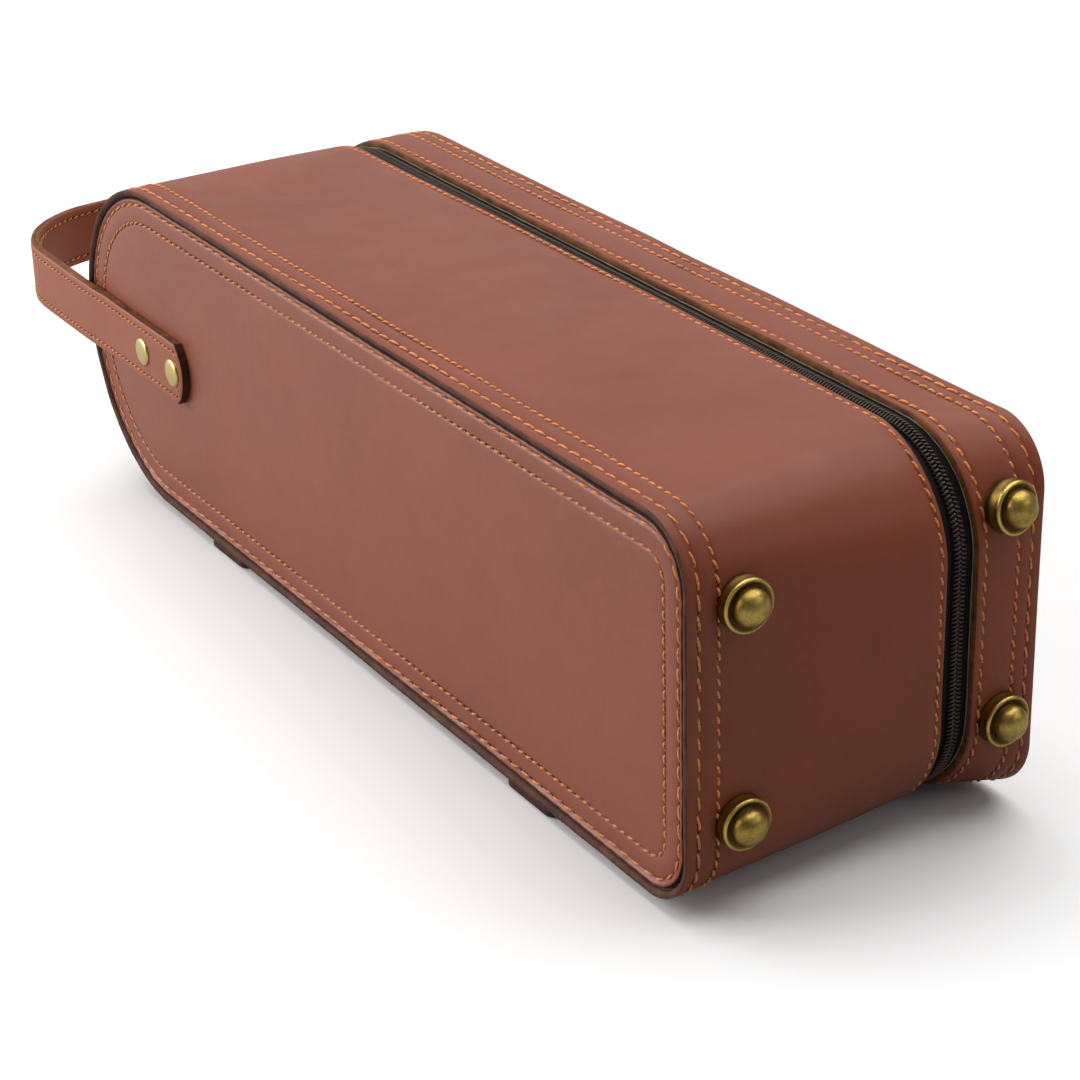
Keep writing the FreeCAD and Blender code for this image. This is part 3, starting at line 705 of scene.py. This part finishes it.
def zip_coil(name, side, phase, body):
    """One half of the coil: a flattened helix of nylon that lies on the tape."""
    points, normals = zip_run(1.72)
    run = distances(points)
    pitch, per_turn, sides = 1.12, 10, 5
    count = int(run[-1] / pitch * per_turn)
    where = np.linspace(0, run[-1], count)
    turn = where / pitch * 2 * math.pi + phase
    x, z = np.interp(where, run, points[:, 0]), np.interp(where, run, points[:, 1])
    nx, nz = np.interp(where, run, normals[:, 0]), np.interp(where, run, normals[:, 1])
    across = 0.95 + 0.78 * np.cos(turn)
    lift = 0.36 * np.sin(turn) - 0.16 * np.cos(turn)
    centre = np.column_stack([x + nx * lift, ZIP_Y + side * across, z + nz * lift])
    forward = unit(np.gradient(centre, axis=0))
    up = np.column_stack([nx, np.zeros(count), nz])
    right = unit(np.cross(forward, up))
    up = np.cross(right, forward)
    ring = circle(sides)
    vertices = (centre[:, None, :] + right[:, None, :] * np.cos(ring)[None, :, None] * 0.27
                + up[:, None, :] * np.sin(ring)[None, :, None] * 0.31).reshape(-1, 3)
    item = make_object(name, vertices, grid_faces(count, sides), [coil_skin], sharp=0)
    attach(item, body)
    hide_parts("zip_coil_" + body)


zip_coil("zip_teeth_case", -1, 0.0, "case")
zip_coil("zip_teeth_lid", 1, math.pi, "lid")


def zip_bead(name, y, inset, radius, material, body):
    """A thin line of the tape's edge that shows beside the leather."""
    points, normals = zip_run(inset)
    points, normals = points[::ZIP_FINE], normals[::ZIP_FINE]
    ring = circle(SIDES)
    out, across = np.sin(ring) * radius, np.cos(ring) * radius
    vertices = np.stack([points[:, None, 0] + normals[:, None, 0] * out[None, :],
                         np.broadcast_to(y + across[None, :], (len(points), SIDES)),
                         points[:, None, 1] + normals[:, None, 1] * out[None, :]], 2).reshape(-1, 3)
    vertices += (waves(vertices, 6, 5) * 0.05)[:, None]
    item = make_object(name, vertices, grid_faces(len(points), SIDES), [material], sharp=0)
    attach(item, body)


zip_bead("zip_selvedge_lid", LID_EDGE + 0.05, 2.05, 0.16, cream, "lid")
zip_bead("zip_selvedge_case", CASE_EDGE - 0.05, 2.05, 0.12, cream, "case")


# ---- slider and puller

def slab(work, points, along_y, low, high, bevel):
    """Add a flat piece with rounded rims: an outline (y, z) swept along x, or (x, z) along y."""
    rings = [[work.verts.new((a, level, b) if along_y else (level, a, b)) for a, b in points]
             for level in (low, high)]
    count = len(points)
    ends = [work.faces.new(rings[0][::-1]), work.faces.new(rings[1])]
    for k in range(count):
        after = (k + 1) % count
        work.faces.new((rings[0][k], rings[0][after], rings[1][after], rings[1][k]))
    rims = [edge for face in ends for edge in face.edges]
    bmesh.ops.bevel(work, geom=rims, offset=bevel, segments=3, profile=0.5, affect="EDGES")


def metal_piece(name, work, body, node):
    work.verts.index_update()
    vertices = [tuple(v.co) for v in work.verts]
    faces = [[v.index for v in face.verts] for face in work.faces]
    work.free()
    item = make_object(name, vertices, faces, [slider_metal], sharp=50)
    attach(item, body)
    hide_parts(node)


def mirrored(half):
    """Close an outline given as (half width, z) from one end to the other."""
    return [(ZIP_Y + w, MID + z) for w, z in half] + [(ZIP_Y - w, MID + z) for w, z in half[::-1]]


def build_slider():
    """Two shaped plates joined by a neck, with a bridge over the pin of the puller."""
    low, high = node_box("zip_slider")
    bridge_top, plate = low[0], 1.2
    face = bridge_top + 2.6
    shape = mirrored([(1.2, -5.5), (2.3, -5.4), (2.9, -4.9), (3.2, -3.4), (3.5, -0.5), (3.5, 3.4),
                      (3.3, 4.6), (2.8, 5.3), (2.0, 5.5), (0.9, 5.5), (0.35, 5.1)])
    work = bmesh.new()
    slab(work, shape, False, face, face + plate, 0.32)
    slab(work, shape, False, high[0] - plate, high[0], 0.32)
    slab(work, [(face + 0.5, MID + 3.2), (high[0] - 0.5, MID + 3.2), (high[0] - 0.5, MID + 5.0),
                (face + 0.5, MID + 5.0)], True, ZIP_Y - 0.2, ZIP_Y + 0.2, 0.05)
    turn = np.linspace(0, math.pi, 25)
    outer = [(face + 0.3 - 2.9 * math.sin(t) ** 0.6, MID + 4.3 * math.cos(t)) for t in turn]
    inner = [(face + 0.3 - 2.1 * math.sin(t) ** 0.6, MID + 3.4 * math.cos(t)) for t in turn[::-1]]
    slab(work, outer + inner, True, ZIP_Y - 0.8, ZIP_Y + 0.8, 0.22)
    metal_piece("zip_slider_brass", work, "slider", "zip_slider")


def build_puller():
    """A waisted tab with an open eye, and the pin that it turns on."""
    low, high = node_box("zip_puller")
    centre, half = (low[0] + high[0]) / 2, (high[0] - low[0]) / 2
    side = [(3.2, -0.3), (3.2, -5.0), (2.9, -6.4), (2.3, -8.6), (2.1, -10.5), (2.4, -13.0), (3.0, -16.5),
            (3.2, -19.5), (3.15, -22.0), (2.8, -24.0), (2.1, -25.2), (1.1, -25.85)]
    eye = [(-1.4, -0.3), (-1.4, -4.9), (-1.0, -5.5), (1.0, -5.5), (1.4, -4.9), (1.4, -0.3)]
    shape = mirrored(side) + [(ZIP_Y + w, MID + z) for w, z in eye]
    work = bmesh.new()
    slab(work, shape, False, centre - half, centre + half, 0.22)
    pin = [(centre + half * math.cos(t), MID + half * math.sin(t)) for t in circle(20)]
    slab(work, pin, True, ZIP_Y - 3.2, ZIP_Y + 3.2, 0.12)
    metal_piece("zip_puller_brass", work, "puller", "zip_puller")


build_slider()
build_puller()


# ---- lathe pieces

def lathe(name, table, spots, axes, material, body, replaced, segments=48):
    """Turn rows of (radius, height, patina) about an axis at each spot, each with its own dents."""
    profile, recess = np.array(table)[:, :2], np.array(table)[:, 2]
    vertices, faces, marks = [], [], []
    turn = circle(segments)
    for number, (spot, axis) in enumerate(zip(spots, axes)):
        up = np.array(axis, float) / np.linalg.norm(axis)
        side = np.cross(up, (0.3, 0.2, 0.9) if abs(up[2]) < 0.9 else (1.0, 0.0, 0.0))
        side /= np.linalg.norm(side)
        third = np.cross(up, side)
        rings = (np.array(spot) + up * profile[:, 1, None, None]
                 + side * (profile[:, 0, None] * np.cos(turn))[:, :, None]
                 + third * (profile[:, 0, None] * np.sin(turn))[:, :, None])
        rings = rings.reshape(-1, 3)
        worn = waves(rings, 5.5, 300 + number) * 0.035
        rings = rings + up * worn[:, None]
        start = sum(len(v) for v in vertices)
        vertices.append(rings)
        faces += (grid_faces(len(profile), segments) + start).tolist()
        faces.append(list(range(start + segments - 1, start - 1, -1)))
        marks.append(np.repeat(recess, segments))
    item = make_object(name, np.concatenate(vertices), faces, [material], sharp=55)
    attribute = item.data.attributes.new("recess", "FLOAT", "POINT")
    attribute.data.foreach_set("value", np.concatenate(marks).astype(np.float32))
    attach(item, body)
    for node in replaced:
        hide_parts(node)


FOOT = [(6.5, -1.4, 0.9), (6.72, -0.2, 0.8), (6.8, 0.3, 0.5), (6.74, 0.9, 0.3), (6.66, 1.6, 0.22),
        (6.66, 2.2, 0.16), (6.74, 2.65, 0.0), (6.72, 3.0, -0.14), (6.56, 3.28, -0.2), (6.3, 3.42, -0.16),
        (6.02, 3.4, 0.15), (5.7, 3.26, 0.5), (5.4, 3.14, 0.62), (5.08, 3.08, 0.68), (4.84, 3.12, 0.62),
        (4.72, 3.4, 0.4), (4.7, 3.9, 0.2), (4.64, 4.5, 0.08), (4.44, 5.2, 0.0), (4.1, 5.8, -0.02),
        (3.62, 6.34, -0.04), (3.0, 6.82, -0.05), (2.3, 7.16, -0.06), (1.5, 7.4, -0.06),
        (0.75, 7.54, -0.05), (0.02, 7.58, -0.05)]
for node, body, axis, sink in (
        ("foot_front_upper", "case", (1, 0, 0.02), 0.0),
        ("foot_front_lower", "case", (1, 0, -0.02), 0.0),
        ("foot_rear_upper", "lid", (1, 0.11, 0.12), 0.7),
        ("foot_rear_lower", "lid", (1, 0.03, 0), 0.0)):
    low, high = node_box(node)
    spot = (BASE_END - sink, (low[1] + high[1]) / 2, (low[2] + high[2]) / 2)
    lathe(node + "_brass", FOOT, [spot], [axis], foot_metal, body, [node])

RIVET = [(1.6, -1.0, 0.9), (4.0, -0.35, 0.9), (4.2, 0.0, 0.6), (4.24, 0.26, 0.2), (4.14, 0.5, 0.0),
         (3.9, 0.68, -0.1), (3.3, 0.88, -0.1), (2.4, 1.04, -0.1), (1.3, 1.14, -0.1), (0.02, 1.18, -0.1)]
rivet_low, rivet_high = node_box("handle_rivets_case")
RIVET_X = (rivet_low[0] + 4.2, rivet_high[0] - 4.2)


# ---- handle

HALF_WIDTH, LAYER, STITCH_INSET = 9.5, 1.5, 2.4
strap_low, strap_high = node_box("handle_outer_case")
TIP_X = strap_high[0]
BRIDGE_X = strap_low[0] + 2 * LAYER
OUTER_BEND = 38.0
BEND = OUTER_BEND - 2 * LAYER
LEG_Y = -FRONT
SETTLE = 0.62


def strap_line():
    """Points and outward normals of the strap's inner face, from the front tip to the rear one."""
    front = []
    bend_x = BRIDGE_X + BEND
    bend_y = LEG_Y - BEND
    for x in np.linspace(TIP_X, bend_x, 70, endpoint=False):
        settle = min(max((x - TOP_END - 4) / 18, 0), 1)
        level = LEG_Y - SETTLE * settle * settle * (3 - 2 * settle)
        front.append((x, -level, 0.0, -1.0))
    for turn in np.radians(np.linspace(0, 90, 30, endpoint=False)):
        front.append((bend_x - BEND * math.sin(turn), -bend_y - BEND * math.cos(turn),
                      -math.sin(turn), -math.cos(turn)))
    for y in np.linspace(-bend_y, 0, 22, endpoint=False):
        front.append((BRIDGE_X, y, -1.0, 0.0))
    front = np.array(front)
    rear = front[::-1] * np.array([1, -1, 1, -1])
    middle = np.array([[BRIDGE_X, 0.0, -1.0, 0.0]])
    both = np.concatenate([front, middle, rear])
    return both[:, :2], both[:, 2:]


line, line_up = strap_line()
line_run = distances(line)
STRAP_LENGTH = line_run[-1]


def on_strap(where, across, height):
    """A point of the strap: distance along its inner face, across its width, height above it."""
    x = np.interp(where, line_run, line[:, 0])
    y = np.interp(where, line_run, line[:, 1])
    nx = np.interp(where, line_run, line_up[:, 0])
    ny = np.interp(where, line_run, line_up[:, 1])
    size = np.hypot(nx, ny)
    return np.stack([x + nx / size * height, y + ny / size * height, MID + across], -1)


TIP_SAG = 4.4
STITCH_V = HALF_WIDTH - STITCH_INSET
across_half = [HALF_WIDTH, 9.44, 9.25, 8.8, 8.2, 7.8, 7.4, 7.1, 6.8, 6.4, 6.1, 5.4, 3.8, 2.0]
ACROSS = np.array([-a for a in across_half] + [0.0] + across_half[::-1])


def sag_at(across):
    """How far the rounded tip falls back at a distance from the middle of the strap."""
    return TIP_SAG * (across / HALF_WIDTH) ** 2.2


def layer_relief(across, sewn):
    """Rounding of the long edges and the sunk stitch line, as height lost from the face."""
    size = np.abs(across)
    rounding = np.where(size > 8.6, 0.32 * (np.maximum(size - 8.6, 0) / 0.9) ** 2.2, 0.0)
    seam = 0.26 * np.exp(-((size - STITCH_V) / 0.42) ** 2)
    return rounding + (seam if sewn else 0)


def strap_layer(name, low, high, outer_seam, inner_seam, seed, replaced):
    inset_rows = np.array([0.0, 0.12, 0.4, 1.0, 2.0, 3.5])
    middle_rows = np.linspace(5, STRAP_LENGTH - 5, 300)
    rows = np.concatenate([inset_rows, middle_rows, STRAP_LENGTH - inset_rows[::-1]])
    tip_sag = sag_at(np.abs(ACROSS))
    faces_points = []
    for upper in (True, False):
        where = np.empty((len(rows), len(ACROSS)))
        for j, sag in enumerate(tip_sag):
            where[:, j] = sag + rows * (STRAP_LENGTH - 2 * sag) / STRAP_LENGTH
        edge = np.minimum(rows, STRAP_LENGTH - rows)
        end_loss = 0.32 * np.clip(1 - edge / 0.9, 0, 1) ** 2
        seam = outer_seam if upper else inner_seam
        loss = np.maximum(layer_relief(ACROSS, seam)[None, :], end_loss[:, None])
        if not seam:
            loss = loss * 0.18
        height = (high - loss) if upper else (low + loss)
        points = on_strap(where, np.broadcast_to(ACROSS, where.shape), height)
        faces_points.append(points)
    top, bottom = faces_points
    columns = len(ACROSS) * 2
    grid = np.concatenate([top, bottom[:, ::-1, :]], 1).reshape(-1, 3)
    shift = waves(grid, 22, seed) * 0.06
    edge = np.tile(np.concatenate([np.abs(ACROSS) > 9.0, np.abs(ACROSS[::-1]) > 9.0]), len(rows))
    grid[:, 2] += waves(grid, 10, seed + 1) * 0.09 * edge * np.sign(grid[:, 2] - MID)
    grid[:, 0] += shift * 0.6
    faces = grid_faces(len(rows), columns).tolist()
    n = len(ACROSS)
    kinds = []
    for _ in range(len(rows) - 1):
        for c in range(columns):
            inside_top = 1 <= c < n - 2
            inside_bottom = n + 1 <= c < columns - 2
            kinds.append(0 if inside_top else (2 if inside_bottom else 1))
    for row in (0, len(rows) - 1):
        start = row * columns
        for c in range(n - 1):
            faces.append([start + c, start + c + 1, start + columns - 2 - c, start + columns - 1 - c])
            kinds.append(3)
    item = make_object(name, grid, faces, [strap_skin, strap_edge, strap_skin, tip_edge], kinds,
                       sharp=38)
    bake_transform(item)
    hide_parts(*replaced)


strap_layer("handle_inner_layer", 0.0, LAYER + 0.01, False, True, 71,
            ["handle_lining_case", "handle_lining_lid"])
strap_layer("handle_outer_layer", LAYER + 0.02, LAYER * 2, True, False, 75,
            ["handle_outer_case", "handle_outer_lid"])


def strap_seam(height, facing, first, last, round_tips):
    """The stitch line: along one side of the strap, round the tip and back along the other."""
    side_run = np.linspace(first, last, 400)
    up_line = [(w, STITCH_V) for w in side_run]
    down_line = [(w, -STITCH_V) for w in side_run[::-1]]
    far, near = [], []
    if round_tips:
        sweep = np.linspace(1, -1, 17)[1:-1]
        back = [STITCH_INSET + sag_at(abs(v * STITCH_V)) for v in sweep]
        far = [(STRAP_LENGTH - b, v * STITCH_V) for b, v in zip(back, sweep)]
        near = [(b, -v * STITCH_V) for b, v in zip(back, sweep)]
    places = np.array(up_line + far + down_line + near)
    path = on_strap(places[:, 0], places[:, 1], np.full(len(places), height))
    above = on_strap(places[:, 0], places[:, 1], np.full(len(places), height + facing))
    return path, above - path


tip_at = STITCH_INSET + sag_at(STITCH_V)
for name, height, facing, first, last, round_tips in (
        ("handle_stitches_outer", LAYER * 2 - 0.22, 1.0, tip_at, STRAP_LENGTH - tip_at, True),
        ("handle_stitches_inner", 0.1, -1.0, 62.0, STRAP_LENGTH - 62.0, False)):
    path, up = strap_seam(height, facing, first, last, round_tips)
    row = sew(name, path, up, 2.75, None, gap=0.8, girth=0.33, slant=0.2, lift=0.24, seed=91)
    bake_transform(row)

for half, side in (("case", -1), ("lid", 1)):
    spots = [(x, side * (LEG_Y - SETTLE + LAYER * 2 - 0.05), MID) for x in RIVET_X]
    lathe("handle_rivets_" + half + "_brass", RIVET, spots, [(0, side, 0)] * 2, rivet_metal, half,
          ["handle_rivets_" + half])


# ---- hinge and underside straps

def hinge_leather():
    """The leather that runs on across the gap on the underside, with a shallow fold line."""
    low, _ = node_box("hinge_strip_case")
    _, high = node_box("hinge_strip_lid")
    across = np.array([-0.6, 0.0, 1.0, 2.0, 2.8, 3.4, 3.9, 4.4, 5.0, 6.0, 7.0, 8.1, 8.7]) + low[1]
    dip = np.exp(-((across - ZIP_Y) / 0.7) ** 2) * 0.35
    xs = np.linspace(low[0] - 1.5, high[0] + 1.5, 130)
    layers = []
    for level, sign in ((low[2] + 0.06, 1), (high[2] - 0.03, 0)):
        grid = np.stack(np.meshgrid(xs, across, indexing="ij"), -1)
        z = level + sign * dip[None, :] * np.ones((len(xs), 1))
        layers.append(np.concatenate([grid, z[:, :, None]], 2))
    loop = np.concatenate([layers[0], layers[1][:, ::-1]], 1)
    rows, columns = loop.shape[:2]
    vertices = loop.reshape(-1, 3)
    vertices[:, 2] += waves(vertices, 25, 17) * 0.03
    faces = grid_faces(rows, columns).tolist()
    faces += [list(range(columns)), list(range((rows - 1) * columns, rows * columns))]
    item = make_object("hinge_leather", vertices, faces, [leather], sharp=35)
    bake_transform(item)
    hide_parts("hinge_strip_case", "hinge_strip_lid")


hinge_leather()


def rounded_rectangle(x0, x1, y0, y1, radius, steps=8):
    points = []
    for cx, cy, first in ((x1 - radius, y0 + radius, -90), (x1 - radius, y1 - radius, 0),
                          (x0 + radius, y1 - radius, 90), (x0 + radius, y0 + radius, 180)):
        for turn in np.radians(np.linspace(first, first + 90, steps)):
            points.append((cx + radius * math.cos(turn), cy + radius * math.sin(turn)))
    return np.array(points)


def underside_strap(which, seed):
    """A leather rest strap with rounded edges, a stitched border and two flush rivets."""
    low, high = node_box("underside_strap_" + which)
    rows = [(2.2, high[2] - 0.02), (0.0, high[2] - 0.02), (0.0, high[2] - 0.4), (0.0, low[2] + 0.45),
            (0.14, low[2] + 0.14), (0.5, low[2] + 0.02), (1.4, low[2]), (2.0, low[2] + 0.05),
            (2.4, low[2] + 0.22), (2.8, low[2] + 0.05), (3.4, low[2]), (6.0, low[2]), (9.0, low[2]),
            (11.2, low[2])]
    rings = []
    for inset, z in rows:
        radius = max(3.2 - inset, 0.15)
        ring = rounded_rectangle(low[0] + inset, high[0] - inset, low[1] + inset, high[1] - inset,
                                 radius)
        rings.append(np.column_stack([ring, np.full(len(ring), z)]))
    vertices = np.concatenate(rings)
    columns = len(rings[0])
    faces = grid_faces(len(rows), columns).tolist()
    faces += [list(range(columns)), list(range((len(rows) - 1) * columns, len(rows) * columns))]
    kinds = list(np.repeat([2, 1, 1, 1] + [0] * 9, columns)) + [2, 0]
    item = make_object("underside_strap_{}_leather".format(which), vertices, faces,
                       [strap_skin, dark_edge, flesh], kinds)
    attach(item, "case")
    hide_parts("underside_strap_" + which)
    border = rounded_rectangle(low[0] + 2.4, high[0] - 2.4, low[1] + 2.4, high[1] - 2.4, 0.9)
    dense = []
    for a, b in zip(border, np.roll(border, -1, 0)):
        count = max(1, int(np.linalg.norm(b - a)))
        dense += [a + (b - a) * k / count for k in range(count)]
    dense = np.array(dense)
    path = np.column_stack([dense, np.full(len(dense), low[2] + 0.42)])
    sew("underside_stitches_" + which, path, np.repeat([[0.0, 0.0, -1.0]], len(path), 0), 3.0, "case",
        gap=0.75, girth=0.34, lift=0.1, seed=seed)
    x = (low[0] + high[0]) / 2
    return [(x, low[1] + 9.0, low[2]), (x, high[1] - 9.0, low[2])]


flush_spots = underside_strap("near", 101) + underside_strap("far", 103)
FLUSH = [(1.6, -2.0, 0.9), (3.4, -0.7, 0.9), (3.56, -0.2, 0.6), (3.5, -0.06, 0.1), (3.2, 0.0, 0.0),
         (2.2, 0.0, -0.1), (1.0, 0.0, -0.1), (0.02, 0.0, -0.1)]
lathe("underside_rivets_brass", FLUSH, flush_spots, [(0, 0, -1)] * 4, foot_metal, "case",
      ["strap_rivets"], segments=32)


# ---- finish on the remaining CAD nodes

NODE_FINISH = {
    "lining": lining_skin, "board": board_skin, "tape": tape_skin, "washers": steel, "backs": steel}
for name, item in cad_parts.items():
    for word, material in NODE_FINISH.items():
        if word in name:
            item.data.materials.clear()
            item.data.materials.append(material)


# ---- floor, light and camera

# The floor looks nearly white but throws back less light, as a floor far below a table does.
SEEN_ALBEDO, BOUNCE_ALBEDO = 0.98, 0.42
SEEN_SKY, LIGHT_SKY = 0.95, 0.14
FLOOR_REACH, FLOOR_LEVEL = 9000.0, -0.2


def floor():
    """A plain pale floor, wide enough to reach the horizon."""
    s = Shader("pale_floor", Specular_IOR_Level=0.1, Roughness=0.9)
    seen = s.tree.nodes.new("ShaderNodeLightPath").outputs["Is Camera Ray"]
    s.put("Base Color", s.spread(seen, 0.0, 1.0, BOUNCE_ALBEDO, SEEN_ALBEDO))
    vertices = [(x * FLOOR_REACH, y * FLOOR_REACH, FLOOR_LEVEL)
                for x, y in ((-1, -1), (1, -1), (1, 1), (-1, 1))]
    item = make_object("floor", vertices, [(0, 1, 2, 3)], [s.material], sharp=0)


floor()

world = bpy.data.worlds.new("soft_white")
bpy.context.scene.world = world
world.use_nodes = True
world.node_tree.nodes["Background"].inputs[0].default_value = (1, 1, 1, 1)
world_tree = world.node_tree
ray = world_tree.nodes.new("ShaderNodeLightPath")
level = world_tree.nodes.new("ShaderNodeMapRange")
level.inputs["To Min"].default_value = LIGHT_SKY
level.inputs["To Max"].default_value = SEEN_SKY
world_tree.links.new(ray.outputs["Is Camera Ray"], level.inputs["Value"])
world_tree.links.new(level.outputs[0], world_tree.nodes["Background"].inputs[1])


def soft_light(name, place, aim, size, power):
    data = bpy.data.lights.new(name, "AREA")
    data.shape = "RECTANGLE"
    data.size, data.size_y = size
    data.energy = power
    item = linked(name, data)
    item.location = place
    item.rotation_euler = (Vector(aim) - Vector(place)).to_track_quat("-Z", "Y").to_euler()


overhead = bpy.data.lights.new("overhead_diffuse", "SUN")
overhead.energy = 2.6
overhead.angle = 1.3
overhead_item = linked("overhead_diffuse", overhead)
overhead_item.rotation_euler = (math.radians(-16), math.radians(-10), 0)
soft_light("back_softbox", (-1.3, 0.85, 0.5), (0.0, 0, 0.08), (1.3, 0.45), 1.6)
soft_light("front_softbox", (-0.9, -1.15, 0.68), (0.05, 0, 0.05), (1.7, 1.1), 27.0)
soft_light("right_softbox", (1.1, 0.75, 0.72), (0.2, 0, 0.06), (0.8, 0.5), 1.6)

CAMERA_TARGET = Vector((0.04775, 0.02985, 0.00268))
CAMERA_DISTANCE, AZIMUTH, ELEVATION, ROLL = 0.85, 59.159, 25.161, -1.521
LENS, SENSOR = 94.856, 36.0
camera_data = bpy.data.cameras.new("camera")
camera_data.lens = LENS
camera_data.sensor_width = SENSOR
camera_data.clip_end = 50.0
camera = linked("camera", camera_data)
turned = (Matrix.Rotation(math.radians(AZIMUTH), 4, "Z")
          @ Matrix.Rotation(math.radians(90 - ELEVATION), 4, "X")
          @ Matrix.Rotation(math.radians(ROLL), 4, "Z"))
camera_place = CAMERA_TARGET + turned.col[2].to_3d() * CAMERA_DISTANCE
camera.matrix_world = Matrix.Translation(camera_place) @ turned
bpy.context.scene.camera = camera
bpy.context.scene.view_settings.view_transform = "Standard"
